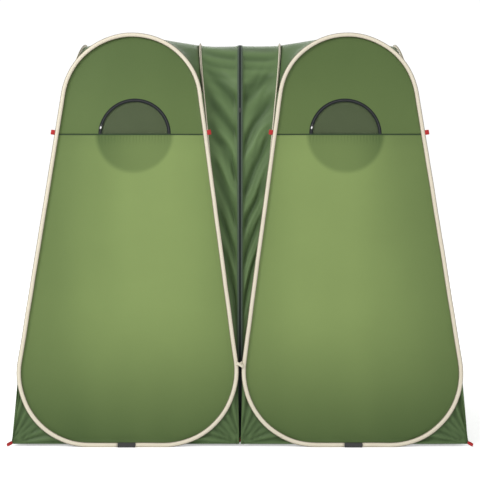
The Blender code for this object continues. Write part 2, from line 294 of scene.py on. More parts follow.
class Nodes:
    """A small helper for building a material's nodes."""

    def __init__(self, name):
        self.material = bpy.data.materials.new(name)
        self.material.use_nodes = True
        self.tree = self.material.node_tree
        self.shader = self.tree.nodes["Principled BSDF"]

    def feed(self, socket, item):
        """Links an output to a socket, or sets the socket's plain value."""
        if isinstance(item, bpy.types.NodeSocket):
            self.tree.links.new(item, socket)
        else:
            socket.default_value = (*item, 1.0) if isinstance(item, tuple) else item

    def add(self, kind, inputs=(), **settings):
        node = self.tree.nodes.new(kind)
        for key, value in settings.items():
            setattr(node, key, value)
        for key, item in dict(inputs).items():
            self.feed(node.inputs[key], item)
        return node

    def surface(self, inputs):
        """Feeds the shader, and returns the finished material."""
        for key, item in inputs.items():
            self.feed(self.shader.inputs[key], item)
        return self.material

    def math(self, operation, a, b=0.0):
        return self.add("ShaderNodeMath", {0: a, 1: b}, operation=operation).outputs[0]

    def noise(self, vector, scale, detail=3.0, rough=0.5):
        inputs = {"Vector": vector, "Scale": scale, "Detail": detail, "Roughness": rough}
        return self.add("ShaderNodeTexNoise", inputs).outputs["Fac"]

    def wave(self, vector, pitch, axis, distortion=0.0):
        """Bands at a pitch in metres."""
        inputs = {"Vector": vector, "Scale": 1 / (pitch * WAVE_BANDS), "Distortion": distortion}
        return self.add("ShaderNodeTexWave", inputs, wave_type="BANDS", bands_direction=axis).outputs["Fac"]

    def mix(self, factor, a, b):
        return self.add("ShaderNodeMix", {0: factor, 6: a, 7: b}, data_type="RGBA").outputs[2]

    def place(self):
        return self.add("ShaderNodeTexCoord").outputs["Object"]

    def cloth(self):
        """The piece's own cloth coordinates, in metres along and across its weave."""
        return self.add("ShaderNodeAttribute", attribute_name="cloth").outputs["Vector"]

    def bump(self, height, strength, distance, normal=None):
        inputs = {"Height": height, "Strength": strength, "Distance": distance}
        if normal is not None:
            inputs["Normal"] = normal
        return self.add("ShaderNodeBump", inputs).outputs["Normal"]


def scaled(colour, factor):
    return tuple(min(1.0, c * factor) for c in colour)


def taffeta(name, dark, bright, translucency=0.22, roughness=0.5, crinkled=0.22):
    """Thin coated taffeta. Its glow attribute is painted light and shade, running from the dark colour to the
    bright one.
    """
    n = Nodes(name)
    cloth, where = n.cloth(), n.place()
    glow = n.add("ShaderNodeAttribute", attribute_name="glow").outputs["Fac"]
    cloud = n.noise(where, 3.0, 4.0, 0.55)
    weave = n.math("ADD", n.wave(cloth, THREAD_PITCH * 2, "X"), n.wave(cloth, THREAD_PITCH * 2, "Y"))
    thread = n.math("ADD", n.math("MULTIPLY", weave, 0.5), n.noise(cloth, 260.0, 2.0))
    # Painted light and shade: the glow attribute mixes the dark colour towards the bright one.
    colour = n.mix(n.math("MULTIPLY", cloud, 0.16), n.mix(glow, dark, bright), scaled(dark, 0.55))
    colour = n.mix(n.math("MULTIPLY", thread, 0.07), colour, scaled(bright, 1.5))
    crinkle = n.bump(n.noise(where, 34.0, 4.0, 0.6), crinkled, 0.003)
    normal = n.bump(weave, 0.12, 0.0003, crinkle)
    material = n.surface({
        "Base Color": colour,
        "Roughness": n.math("ADD", n.math("MULTIPLY", cloud, 0.14), roughness - 0.07),
        "Sheen Weight": 0.06,
        "Sheen Roughness": 0.4,
        "Specular IOR Level": 0.2,
        "Normal": normal})
    glowing = n.add("ShaderNodeBsdfTranslucent", {"Color": colour, "Normal": normal})
    both = n.add("ShaderNodeMixShader", {0: translucency, 1: n.shader.outputs[0], 2: glowing.outputs[0]})
    n.feed(n.tree.nodes["Material Output"].inputs["Surface"], both.outputs[0])
    return material


def webbing(name, colour, shade, rib, stitch=None, roughness=0.75, sheen=0.15, edge=None):
    """Woven tape with ribs across it. Stitch is a row's offset and length, edge an offset and the colour of a
    painted shade along both edges.
    """
    n = Nodes(name)
    cloth, where = n.cloth(), n.place()
    split = n.add("ShaderNodeSeparateXYZ", {0: cloth})
    along, off_middle = split.outputs[0], n.math("ABSOLUTE", split.outputs[1])
    ribs = n.wave(cloth, rib, "X", 0.6)
    worn = n.noise(where, 9.0, 4.0, 0.6)
    base = n.mix(n.math("MULTIPLY", worn, 0.45), colour, shade)
    base = n.mix(n.math("MULTIPLY", n.math("SUBTRACT", 1.0, ribs), 0.12), base, shade)
    grain = n.math("MULTIPLY", n.noise(where, 420.0, 3.0), 0.5)
    height = n.math("ADD", n.math("MULTIPLY", ribs, 0.6), grain)
    if stitch:
        offset, length = stitch
        near = n.math("LESS_THAN", n.math("ABSOLUTE", n.math("SUBTRACT", off_middle, offset)), 0.0007)
        dash = n.math("GREATER_THAN", n.math("FRACT", n.math("MULTIPLY", along, 1 / length)), 0.35)
        thread = n.math("MULTIPLY", near, dash)
        base = n.mix(n.math("MULTIPLY", thread, 0.55), base, scaled(shade, 0.55))
        height = n.math("SUBTRACT", height, n.math("MULTIPLY", near, 1.5))
    if edge:
        offset, edge_shade = edge
        # Painted shade: a dark line along both edges of the tape, where the sleeve meets the wall.
        rim = n.math("GREATER_THAN", off_middle, offset)
        base = n.mix(n.math("MULTIPLY", rim, 0.85), base, edge_shade)
    return n.surface({"Base Color": base, "Roughness": roughness, "Sheen Weight": sheen,
                      "Specular IOR Level": 0.2, "Normal": n.bump(height, 0.5, 0.0004)})


def moulded(name, colour, roughness):
    """Moulded plastic with a fine grain and worn edges."""
    n = Nodes(name)
    where = n.place()
    edge = n.add("ShaderNodeNewGeometry").outputs["Pointiness"]
    wear = n.math("MULTIPLY", n.math("GREATER_THAN", edge, 0.53), 0.35)
    smear = n.math("MULTIPLY", n.noise(where, 40.0, 3.0), 0.2)
    return n.surface({
        "Base Color": n.mix(wear, colour, tuple(min(1.0, c + 0.12) for c in colour)),
        "Roughness": n.math("ADD", smear, roughness - 0.1),
        "Normal": n.bump(n.noise(where, 900.0, 2.0), 0.2, 0.0002),
        "Specular IOR Level": 0.3})


def netting(name, colour):
    """Fine insect net: see-through cells between threads."""
    n = Nodes(name)
    cloth = n.cloth()
    thread = n.math("MAXIMUM", n.wave(cloth, NET_PITCH, "X"), n.wave(cloth, NET_PITCH, "Y"))
    cloud = n.noise(n.place(), 12.0, 3.0)
    return n.surface({
        "Base Color": n.mix(n.math("MULTIPLY", cloud, 0.4), colour, scaled(colour, 0.6)),
        "Alpha": n.math("MAXIMUM", n.math("GREATER_THAN", thread, 0.62), 0.55),
        "Roughness": 0.7,
        "Normal": n.bump(thread, 0.5, 0.0004)})


# Colours as linear values
# The dark and bright colour of each taffeta are its painted shade and painted light, mixed by the glow
# attribute.
PANEL_DARK = (0.062, 0.112, 0.034)
PANEL_BRIGHT = (0.300, 0.405, 0.138)
SHELL_DARK = (0.030, 0.062, 0.019)
SHELL_BRIGHT = (0.150, 0.235, 0.095)
CREAM = (0.80, 0.74, 0.60)
CREAM_SHADE = (0.62, 0.54, 0.41)
# Painted shade along the cream sleeves' edges
CREAM_EDGE_SHADE = (0.10, 0.075, 0.045)
BLACK_TAPE = (0.010, 0.012, 0.013)
BLACK_SHADE = (0.022, 0.028, 0.030)
TAPE = (0.085, 0.115, 0.085)
TAPE_SHADE = (0.055, 0.080, 0.055)
BINDING = (0.040, 0.068, 0.030)
BINDING_SHADE = (0.025, 0.045, 0.020)
RED = (0.52, 0.030, 0.030)
RED_SHADE = (0.32, 0.015, 0.018)
NET = (0.075, 0.105, 0.042)

M_PANEL = taffeta("panel_taffeta", PANEL_DARK, PANEL_BRIGHT, crinkled=0.12)
M_SHELL = taffeta("shell_taffeta", SHELL_DARK, SHELL_BRIGHT, translucency=0.10, roughness=0.47)
M_SLEEVE = webbing("cream_sleeve", CREAM, CREAM_SHADE, 0.0022, (0.0070, 0.0042),
                   edge=(0.0084, CREAM_EDGE_SHADE))
M_TIE = webbing("cream_tie", CREAM, CREAM_SHADE, 0.0018, (0.0055, 0.0035))
M_ZIP = webbing("zip_tape", BLACK_TAPE, BLACK_SHADE, 0.0014, (0.0068, 0.0036), sheen=0.0)
M_TAPE = webbing("seam_tape", TAPE, TAPE_SHADE, 0.0016, (0.0098, 0.0036), sheen=0.05)
M_BINDING = webbing("seam_binding", BINDING, BINDING_SHADE, 0.0018, sheen=0.0)
M_RED = webbing("red_webbing", RED, RED_SHADE, 0.0015, (0.005, 0.0030), 0.6)
M_NET = netting("insect_net", NET)
M_BLACK = moulded("black_moulded", (0.012, 0.013, 0.012), 0.42)
M_WHITE = moulded("white_moulded", (0.78, 0.78, 0.76), 0.3)
M_COIL = moulded("zip_coil", (0.006, 0.007, 0.008), 0.75)


# ---------------------------------------------------------------- hoops

def hoop_frames(panel, gap):
    """Points round a hoop, with the direction out of the loop and the panel's normal."""
    line = panel.loop()
    count = len(line)
    frames = []
    for i, (u, v) in enumerate(line):
        before, after = line[i - 1], line[(i + 1) % count]
        du, dv = after[0] - before[0], after[1] - before[1]
        size = math.hypot(du, dv)
        side = (dv / size, -du / size)
        frames.append(((u, v), side))
    body = [f for f in frames[1:] if not (abs(f[0][0]) < gap and f[0][1] < 0.05)]
    ends = [((gap, 0.0), (0, -1)), ((-gap, 0.0), (0, -1))]
    body = [ends[0]] + body + [ends[1]]
    made = []
    for (u, v), (su, sv) in body:
        # small unevenness, as hand-fed binding has
        wobble = noise.noise(Vector((u * 9, v * 9, panel.room * 3.7))) * 0.0012
        spot = panel.at(u + su * wobble, v + sv * wobble, 0)
        made.append((spot, panel.across * su + panel.up * sv, panel.normal))
    return made


def build_hoop(panel):
    """The cream sleeve: a wire's bulge along its middle and flat sewn edges."""
    section = []
    for a, b in ((1.0, 0.12), (0.80, 0.22), (0.68, 0.42), (0.34, 0.90), (0.0, 1.0), (-0.34, 0.90),
                 (-0.68, 0.42), (-0.80, 0.22), (-1.0, 0.12)):
        section.append((a * SLEEVE_HALF, b * SLEEVE_THICK))
    section += [(a, -b) for a, b in reversed(section)]
    ferrule = spans(f"{panel.name}_ferrule")[2]
    gap = max(ferrule.x, ferrule.y) / 2 + 0.001
    obj = sweep(f"{panel.name}_sleeve", hoop_frames(panel, gap), section, M_SLEEVE)
    finish_piece(obj, panel.body, "sleeve", f"{panel.name}_hoop")


# ---------------------------------------------------------------- flat walls

def pucker(u, v, seed, amount):
    """Slight unevenness of fabric stretched in a hoop."""
    return amount * noise.noise(Vector((u * 3.1, v * 2.3, seed))) + amount * 0.4 * noise.noise(
        Vector((u * 9.0, v * 7.0, seed + 4.0)))


def edge_ripple(u, v, edge, seed):
    """Short gathers next to the sleeve, which fade out within a hand's width."""
    near = math.exp(-max(0.0, edge) / 0.030)
    return 0.0010 * near * math.sin(92 * (u * 0.6 + v) + 5 * noise.noise(Vector((u * 4, v * 4, seed))))


def window_pucker(panel, u, v):
    """Fine upright gathers under a window's straight edge."""
    if panel.side != "front":
        return 0.0
    near = 1 - smooth(abs(u - panel.room * WINDOW_SHIFT), WINDOW_RADIUS - 0.02, WINDOW_RADIUS + 0.03)
    drop = SEAM - v
    fade = smooth(drop, 0.0, 0.006) * (1 - smooth(drop, 0.010, 0.060))
    return 0.0011 * near * fade * math.sin(u * 420 + 2 * noise.noise(Vector((u * 30, 0, 1.0))))


def wall_depth(panel, u, v, bulge):
    """How far a wall stands out of its hoop's plane at a point."""
    edge = max(0.0, min(panel.width(v) - abs(u), v, panel.height - v))
    seed = panel.room * 1.7 + panel.out * 2.9 + len(panel.side)
    depth = WALL_DEPTH + RIM_RISE * (1 - smooth(edge, 0.0, 0.024)) + bulge * smooth(edge, 0.0, 0.25)
    depth += pucker(u, v, seed, 0.0010) * smooth(edge, 0.0, 0.08)
    return depth + edge_ripple(u, v, edge, seed) + window_pucker(panel, u, v)


def front_glow(panel, u, v):
    """Painted light of the backlit front wall: brightest towards the tent's middle, darker at rim and foot.
    """
    width = max(panel.width(min(max(v, 0.01), panel.height - 0.01)), 0.05)
    soft = 0.05 * noise.noise(Vector((u * 7.0, v * 1.3, 3.0 * panel.room)))
    if v > SEAM:
        return 0.27 - 0.12 * smooth(v - SEAM, 0.05, 0.45) + 0.4 * soft
    across = abs(u * panel.room + 0.12) / width
    level = smooth(v, -0.16, 0.68) * (1 - 0.52 * smooth(across, 0.15, 1.3))
    reach = math.hypot(u - panel.room * WINDOW_SHIFT, v - SEAM)
    # Painted shadow of the window flap hanging behind the wall: a darker half disc below the window.
    level -= 0.47 * (1 - smooth(reach, WINDOW_RADIUS - 0.004, WINDOW_RADIUS + 0.022))
    # Painted shade just under the seam.
    level -= 0.06 * (1 - smooth(SEAM - v, 0.0, 0.10))
    # Painted shade in the valleys of the gathers under the window.
    level += 110 * min(0.0, window_pucker(panel, u, v))
    return max(0.0, level + soft)


def wall_rows(low, high, rows):
    """Heights up a panel, closer together at both ends."""
    heights = []
    for i in range(rows + 1):
        t = i / rows
        eased = 0.5 - 0.5 * math.cos(math.pi * t)
        heights.append(low + (high - low) * (0.35 * t + 0.65 * eased))
    return heights


def wall_sample(panel, u, v, glow, bulge):
    """One (point, glow, cloth coordinates) sample of a wall."""
    return panel.at(u, v, wall_depth(panel, u, v, bulge)), glow(panel, u, v), (u, v)


def wall_grid(panel, low, high, rows, columns, glow):
    """Fabric filling the hoop between two heights, finer towards its edges."""
    grid = []
    for v in wall_rows(low, high, rows):
        width = max(SLEEVE_LAP, panel.width(v) - SLEEVE_LAP)
        shares = [2 * j / columns - 1 for j in range(columns + 1)]
        across = [(math.sin(s * math.pi / 2) * 0.5 + s * 0.5) * width for s in shares]
        grid.append([wall_sample(panel, u, v, glow, FRONT_BULGE) for u in across])
    obj = cloth_sheet(f"{panel.name}_panel", grid, M_PANEL)
    finish_piece(obj, panel.body, "wall", f"{panel.name}_wall")


def ray_reach(loop, centre, angle):
    """How far a ray from the centre runs to the loop."""
    dx, dy = math.cos(angle), math.sin(angle)
    best = None
    for (ax, ay), (bx, by) in zip(loop, loop[1:] + loop[:1]):
        ex, ey = bx - ax, by - ay
        cross = dx * ey - dy * ex
        if abs(cross) < 1e-12:
            continue
        px, py = ax - centre[0], ay - centre[1]
        t = (px * ey - py * ex) / cross
        s = (px * dy - py * dx) / cross
        if t > 0 and -1e-6 <= s <= 1 + 1e-6 and (best is None or t < best):
            best = t
    return best


def ring_wall(name, panel, centre, hole, angles, material, glow, bulge, rings, closed):
    """Fabric between a hole and the hoop, laid out along rays from the hole's middle."""
    outline = panel.loop(SLEEVE_LAP)
    rays = []
    for angle in angles:
        start, stop = hole(angle), ray_reach(outline, centre, angle)
        ray = []
        for k in range(rings + 1):
            r = start + (stop - start) * k / rings
            u, v = centre[0] + r * math.cos(angle), centre[1] + r * math.sin(angle)
            ray.append(wall_sample(panel, u, v, glow, bulge))
        rays.append(ray)
    base = (len(angles) - 1) * (rings + 1)
    join = [(base + k, base + k + 1, k + 1, k) for k in range(rings)] if closed else []
    return cloth_sheet(name, rays, material, extra_faces=join)


def ribbon(name, line, normal, half, material, thickness=TAPE_THICK):
    """A flat tape along a line of points."""
    frames = []
    for i, spot in enumerate(line):
        before, after = line[max(0, i - 1)], line[min(len(line) - 1, i + 1)]
        along = (after - before).normalized()
        frames.append((spot, along.cross(normal).normalized(), normal))
    return sweep(name, frames, oval(half, thickness / 2, 12, 6), material)


def cross_seam(panel):
    """The bound seam across a wall, lying on its fabric."""
    width = panel.width(SEAM) - 0.006
    line = []
    for i in range(121):
        u = width * (i / 60 - 1)
        line.append(panel.at(u, SEAM, wall_depth(panel, u, SEAM, FRONT_BULGE) + 0.0012))
    binding = ribbon(f"{panel.name}_seam", line, panel.normal, 0.0034, M_BINDING, 0.0018)
    finish_piece(binding, panel.body, "shell")


def build_front(panel):
    """The wall below the seam, the arched wall round the window, and the window."""
    wall_grid(panel, WALL_FOOT, SEAM, 120, 176, front_glow)
    centre = (panel.room * WINDOW_SHIFT, SEAM)
    hole = WINDOW_RADIUS - 2 * ZIP_HALF
    angles = [math.pi * i / 96 for i in range(97)]
    upper = ring_wall(f"{panel.name}_top", panel, centre, lambda angle: hole, angles, M_PANEL, front_glow,
                      FRONT_BULGE, 26, closed=False)
    finish_piece(upper, panel.body, "wall")
    cross_seam(panel)
    build_net(panel, centre)
    build_window_zip(panel, centre)
    build_window_flap(panel, centre)
    build_slider(f"{panel.word}_window_slider", panel, M_WHITE, "slider_white", turn=math.radians(-14))


def build_net(panel, centre):
    """The window's insect net, bulging slightly outwards."""
    rings, spokes = 14, 48
    reach = WINDOW_RADIUS - 0.004
    rows = []
    for k in range(rings + 1):
        row = []
        for i in range(spokes + 1):
            r, a = reach * k / rings, math.pi * i / spokes
            u, v = centre[0] + r * math.cos(a), centre[1] + r * math.sin(a) - 0.002
            depth = NET_DEPTH + 0.0010 * (1 - (k / rings) ** 2) * math.sin(a)
            row.append((panel.at(u, v, depth + pucker(u, v, 8.0 + panel.room, 0.0006)), 0.0, (u, v)))
        rows.append(row)
    net = cloth_sheet(f"{panel.word}_window_net", rows, M_NET, NET_THICK)
    finish_piece(net, panel.body, "mesh", f"{panel.word}_window_mesh")


def build_zip(panel, piece, line, coil_half, teeth):
    """A zip's tape and coil along a line, standing for the CAD's zip."""
    tape = ribbon(f"{panel.word}_{piece}_tape", line, panel.normal, ZIP_HALF, M_ZIP)
    finish_piece(tape, panel.body, "zip", f"{panel.word}_{piece}_zip")
    coil = zip_coil(f"{panel.word}_{piece}_coil", line, panel.normal, coil_half, teeth)
    finish_piece(coil, panel.body, "zip")


def build_window_zip(panel, centre):
    """The arched zip round the window."""
    line = []
    for u, v in arc(centre, WINDOW_RADIUS - ZIP_HALF, 0, math.pi, 72):
        line.append(panel.at(u, v, wall_depth(panel, u, v, FRONT_BULGE) + TAPE_LIFT))
    build_zip(panel, "window", line, 0.0022, 260)


def build_window_flap(panel, centre):
    """The half round of cloth that hangs inside, below the window."""
    drop = WINDOW_RADIUS + 0.004
    rows = []
    for k in range(21):
        t = k / 20
        down = t * drop
        half = max(0.004, math.sqrt(max(1e-6, drop * drop - down * down)))
        row = []
        for i in range(49):
            s = 2 * i / 48 - 1
            w = FLAP_DEPTH - 0.003 * math.sin(t * 2.6) * (0.6 + 0.4 * math.cos(5 * s)) * smooth(t, 0, 0.2)
            w -= 0.0008 * (1 + math.sin(s * 26)) * (1 - smooth(t, 0.0, 0.4))
            row.append((panel.at(centre[0] + s * half, centre[1] - FLAP_HINGE_DROP - down, w), 0.35,
                        (s * half, down)))
        rows.append(row)
    node = f"{panel.word}_window_flap"
    finish_piece(cloth_sheet(f"{panel.word}_flap_cloth", rows, M_SHELL), node, "shell", node)


def zip_coil(name, line, normal, half, teeth):
    """The closed coil of a zip, as a ridge with a tooth's swell at each pitch."""
    step = sum((b - a).length for a, b in zip(line, line[1:])) / teeth
    spots, passed = [line[0]], 0.0
    for a, b in zip(line, line[1:]):
        length = (b - a).length
        while passed + length >= step * len(spots):
            spots.append(a.lerp(b, (step * len(spots) - passed) / length))
        passed += length
    frames = []
    for i, spot in enumerate(spots):
        before, after = spots[max(0, i - 1)], spots[min(len(spots) - 1, i + 1)]
        across = (after - before).normalized().cross(normal).normalized()
        swell = 1.0 if i % 2 else 0.62
        frames.append((spot + normal * 0.0010, across * swell, normal * swell))
    return sweep(name, frames, oval(half, 0.0012, 8, 2.2), M_COIL)


def slab(shape, outline, low_w, high_w, material_index=0):
    """Adds a flat plate with the outline's shape to a bmesh."""
    bottom = [shape.verts.new((x, y, low_w)) for x, y in outline]
    top = [shape.verts.new((x, y, high_w)) for x, y in outline]
    made = [shape.faces.new(list(reversed(bottom))), shape.faces.new(top)]
    for i in range(len(outline)):
        j = (i + 1) % len(outline)
        made.append(shape.faces.new((bottom[i], bottom[j], top[j], top[i])))
    for face in made:
        face.material_index = material_index


def slider_mesh(name, pull):
    """A zip slider: a waisted black body, a bridge and a hanging pull tab of its own material."""
    shape = bmesh.new()
    waisted = []
    for i in range(28):
        t = 2 * math.pi * i / 28
        waisted.append(((0.0050 + 0.0012 * math.cos(2 * t)) * math.cos(t), 0.0088 * math.sin(t)))
    slab(shape, waisted, -0.0006, 0.0014)
    slab(shape, oval(0.0014, 0.0062, 16, 2), 0.0013, 0.0030)
    tab = [(x, y - 0.0095) for x, y in oval(0.0036, 0.0062, 24, 2 / 0.7)]
    slab(shape, tab, 0.0031, 0.0044, material_index=1)
    mesh = bpy.data.meshes.new(name)
    shape.to_mesh(mesh)
    shape.free()
    mesh.materials.append(M_BLACK)
    mesh.materials.append(pull)
    mesh.shade_smooth()
    mesh.set_sharp_from_angle(angle=math.radians(40))
    return mesh


def build_slider(node, panel, pull, slot, turn=0.0):
    """A slider at its CAD node's middle, lying in the panel's plane."""
    obj = bpy.data.objects.new(node + "_shape", slider_mesh(node + "_shape", pull))
    columns = Matrix((panel.across, panel.up, panel.normal)).transposed()
    place = Matrix.Translation(sum(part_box(node), Vector()) / 2)
    obj.matrix_world = place @ columns.to_4x4() @ Matrix.Rotation(turn, 4, "Z")
    bpy.context.scene.collection.objects.link(obj)
    bevel = obj.modifiers.new("Edges", "BEVEL")
    bevel.width = 0.0004
    bevel.segments = 2
    return finish_piece(obj, node, slot, node)


# Painted light of a backlit wall: darker towards its sides and its foot.
def plain_glow(level, spread):
    def glow(panel, u, v):
        width = max(panel.width(min(max(v, 0.01), panel.height - 0.01)), 0.05)
        return level * (1 - spread * smooth(abs(u) / width, 0.1, 1.1)) * (0.55 + 0.45 * smooth(v, -0.2, 0.7))
    return glow


def build_back(panel):
    wall_grid(panel, WALL_FOOT, panel.height - WALL_FOOT, 130, 52, plain_glow(0.75, 0.4))
    cross_seam(panel)


# ---------------------------------------------------------------- doors

def door_measures(panel):
    """Half the door's width, and its foot and top up the panel."""
    low, high, size = spans(f"{panel.word}_door_flap")
    base = (low.z - panel.origin.z) / panel.up.z
    top = (high.z - panel.origin.z) / panel.up.z
    return size.y / 2, base, top


def door_reach(half, base, top, centre):
    """The arched door's outline, as the reach of a ray from a point inside it."""
    outline = arc((0, top - half), half, 0, math.pi, 30) + [(-half, base), (half, base)]
    return lambda angle: ray_reach(outline, centre, angle)


def build_outer(panel):
    """The outer wall round its door's opening, and the door."""
    half, base, top = door_measures(panel)
    lap = 0.02
    centre = (0.0, 0.85)
    hole = door_reach(half - lap, base + lap, top - lap, centre)
    corners = {math.atan2(base + lap - centre[1], side * (half - lap)) for side in (-1, 1)}
    angles = sorted({2 * math.pi * i / 180 - math.pi for i in range(180)} | corners)
    wall = ring_wall(f"{panel.name}_panel", panel, centre, hole, angles, M_SHELL, plain_glow(0.85, 0.3),
                     0.0, 20, closed=True)
    finish_piece(wall, panel.body, "wall", f"{panel.name}_wall")
    build_door_cloth(panel, half, base, top)
    build_door_zip(panel, half, base, top)
    build_slider(f"{panel.word}_door_slider", panel, M_BLACK, "slider_black")


# ---------------------------------------------------------------- skirts

def build_door_cloth(panel, half, base, top):
    """The arched flap, with a few long soft folds."""
    rows, columns = 70, 24
    grid = []
    for i in range(rows + 1):
        v = base + 0.001 + (top - base - 0.002) * (0.3 * i / rows + 0.7 * math.sin(i / rows * math.pi / 2))
        rise = max(0.0, v - (top - half))
        width = max(0.003, math.sqrt(max(1e-6, half * half - rise * rise)) - 0.001)
        row = []
        for j in range(columns + 1):
            s = 2 * j / columns - 1
            u = s * width
            fold = 0.0014 * math.sin(u * 38 + 2.5 * noise.noise(Vector((u * 3, v * 1.4, panel.room))))
            w = DOOR_DEPTH + fold * smooth(top - v, 0.0, 0.5) * (1 - s * s)
            w += pucker(u, v, panel.room * 11.0, 0.0010)
            # Painted light, with painted shade towards the flap's two sides.
            row.append((panel.at(u, v, w), 0.62 - 0.3 * abs(s) ** 3, (u, v)))
        grid.append(row)
    flap = cloth_sheet(f"{panel.word}_door_cloth", grid, M_SHELL)
    finish_piece(flap, f"{panel.word}_door", "shell", f"{panel.word}_door_flap")


def build_door_zip(panel, half, base, top):
    """The zip, which climbs the door's free edge and runs over the arch to the hinge side."""
    outside = half + 0.012
    edge = -panel.room * outside
    dome = arc((0, top - half), outside, 0, math.pi, 40)
    if panel.room > 0:
        dome.reverse()
    path = [(edge, base + (top - half - base) * i / 30) for i in range(30)] + dome
    build_zip(panel, "door", [panel.at(u, v, DOOR_DEPTH + 0.0004) for u, v in path], 0.0026, 420)


def cad_foot(panel):
    """How far up the panel its CAD piece starts, just clear of the ground."""
    return (spans(cad_piece(panel))[0].z + 0.001 - panel.origin.z) / panel.up.z


def cad_piece(panel):
    return f"{panel.name}_{'hoop' if panel.side == 'inner' else 'wall'}"


def cad_reach(panel, end):
    """How far the panel's CAD piece reaches from the panel's middle towards its u end."""
    low, high, _ = spans(cad_piece(panel))
    edge = high if panel.across[panel.along] * end > 0 else low
    return abs(edge[panel.along] - panel.origin[panel.along])


def skirt_edges(panel, corner_u, foot_v, t):
    """A skirt's point under the sleeve and its point on the ground or the tent's corner, t from 0 to 1."""
    angle = -t * math.pi / 2 * 0.985 + 0.02
    radius = panel.radius - SLEEVE_LAP
    inner = (CORNER_CENTRE + radius * math.cos(angle), panel.low + radius * math.sin(angle))
    corner = (corner_u, foot_v)
    if t < 0.5:
        return inner, lerp2((CORNER_CENTRE + panel.radius + 0.004, panel.low + 0.01), corner, t * 2)
    return inner, lerp2(corner, (CORNER_CENTRE * 0.9, foot_v), t * 2 - 1)


def build_skirts(panel):
    """The fabric outside a hoop's bottom corners, down to the ground and to the tent's corner."""
    foot_v = cad_foot(panel)
    steps, rows = 48, 16
    slack = 1.0 if panel.side == "front" else 0.45
    for end in (-1, 1):
        corner_u = cad_reach(panel, end)
        if panel.side == "front" and end == -panel.room:
            corner_u = abs(panel.room * MIDDLE_GAP - panel.origin.x)
        grid = []
        for i in range(steps + 1):
            inner, outer = skirt_edges(panel, corner_u, foot_v, i / steps)
            row = []
            for k in range(rows + 1):
                far = k / rows
                u, v = lerp2(inner, outer, far)
                fan = math.atan2(v - foot_v, corner_u - u + 0.01)
                crease = 0.0065 * math.sin(26 * fan + 1.7 * panel.room)
                crease += 0.004 * noise.noise(Vector((u * 22, v * 16, 3.1 * end + panel.out)))
                crease *= smooth(far, 0.0, 0.35) * (1 - 0.85 * smooth(far, 0.8, 1.0))
                # The glow is painted light and shade: brighter on the creases' crests, darker in their
                # valleys, and a little brighter towards the outer edge.
                row.append((panel.at(end * u, v, WALL_DEPTH + crease * slack),
                            0.40 + 26.0 * crease + 0.12 * far, (u, v)))
            grid.append(row)
        finish_piece(cloth_sheet(f"{panel.name}_skirt_{END_LABELS[end]}", grid, M_SHELL), panel.body, "shell")


def neighbour(panel, end):
    """The panel of the same room that meets this one at its u end."""
    others = [p for (w, s), p in PANELS.items() if w == panel.word and s != panel.side]
    return max(others, key=lambda p: end * p.normal.dot(panel.across))


def corner_reach(panel, v, end):
    """How far along a row the corner line lies, where the two hoops' planes meet."""
    other = neighbour(panel, end)
    spot = panel.at(0, v) - other.origin
    return -spot.dot(other.normal) / (end * panel.across.dot(other.normal))


def strip_reach(panel, v, end):
    """How far a corner strip runs: to the corner line, or to just behind a wall that covers it."""
    reach = corner_reach(panel, v, end) - 0.0006
    other = neighbour(panel, end)
    facing = 1 if other.across.dot(panel.normal) > 0 else -1
    covered = other.width(v) > corner_reach(other, v, facing) - 0.006
    return reach - 0.014 if covered else reach


def build_corner_strips(panel):
    """The fabric between a sleeve and the room's two corner lines, about which the hoops fold."""
    foot_v = max(0.002, cad_foot(panel))
    knee = panel.low + 0.01
    wide = CORNER_CENTRE + panel.radius
    start = panel.low if panel.side == "inner" else foot_v
    top = panel.high + panel.radius * math.sin(panel.tilt) + 0.004
    rows, columns = 90, 5
    for end in (-1, 1):
        corner_u = cad_reach(panel, end)
        grid = []
        for i in range(rows + 1):
            v = start + (top - start) * i / rows
            reach = strip_reach(panel, v, end)
            if v >= knee:
                inner, depth = panel.width(v) - 0.003, STRIP_DEPTH
            else:
                t = (knee - v) / (knee - foot_v)
                inner = wide + 0.002 + (corner_u - wide - 0.004) * t
                depth = STRIP_DEPTH + (WALL_DEPTH - STRIP_DEPTH) * smooth(t, 0.0, 0.3)
            row = []
            for k in range(columns + 1):
                f = k / columns
                u = inner + (max(reach, inner + 0.001) - inner) * f
                rise = f if reach > inner else 0.0
                glow = 0.42 + 0.15 * noise.noise(Vector((u * 9, v * 4, end + panel.out)))
                row.append((panel.at(end * u, v, depth * (1 - rise)), glow, (u, v)))
            grid.append(row)
        strip = cloth_sheet(f"{panel.name}_corner_{END_LABELS[end]}", grid, M_SHELL)
        finish_piece(strip, panel.body, "shell")


# ---------------------------------------------------------------- roof

def roof_spot(panel, share, angle):
    """A point on a hoop's round top, or on a level line across it, just inside the wall."""
    u = share * panel.radius * math.cos(angle)
    v = panel.high + panel.radius * math.sin(angle)
    return panel.at(u, v, wall_depth(panel, u, v, FRONT_BULGE) - ROOF_TUCK)


def roof_ring(room, panels, tilt, t):
    """One level ring of a roof, t from 0 where the hoops' tops begin to 1 at their crests."""
    angle = tilt + (math.pi / 2 - tilt) * t
    ring = []
    for c in range(2 * len(panels)):
        panel, following = panels[c // 2], panels[(c // 2 + 1) % len(panels)]
        for j in range(ROOF_SPAN):
            if c % 2 == 0:
                ring.append(roof_spot(panel, 2 * j / ROOF_SPAN - 1, angle))
                continue
            p = roof_spot(panel, 1, angle).lerp(roof_spot(following, -1, angle), j / ROOF_SPAN)
            s = math.sin(math.pi * j / ROOF_SPAN)
            inward = Vector((room * ROOM_CENTRE, 0, p.z)) - p
            fold = 0.010 * s * math.sin(3.5 * t * math.pi + c) * (1 - t)
            ring.append(p + inward.normalized() * (0.010 * s + fold))
    return ring


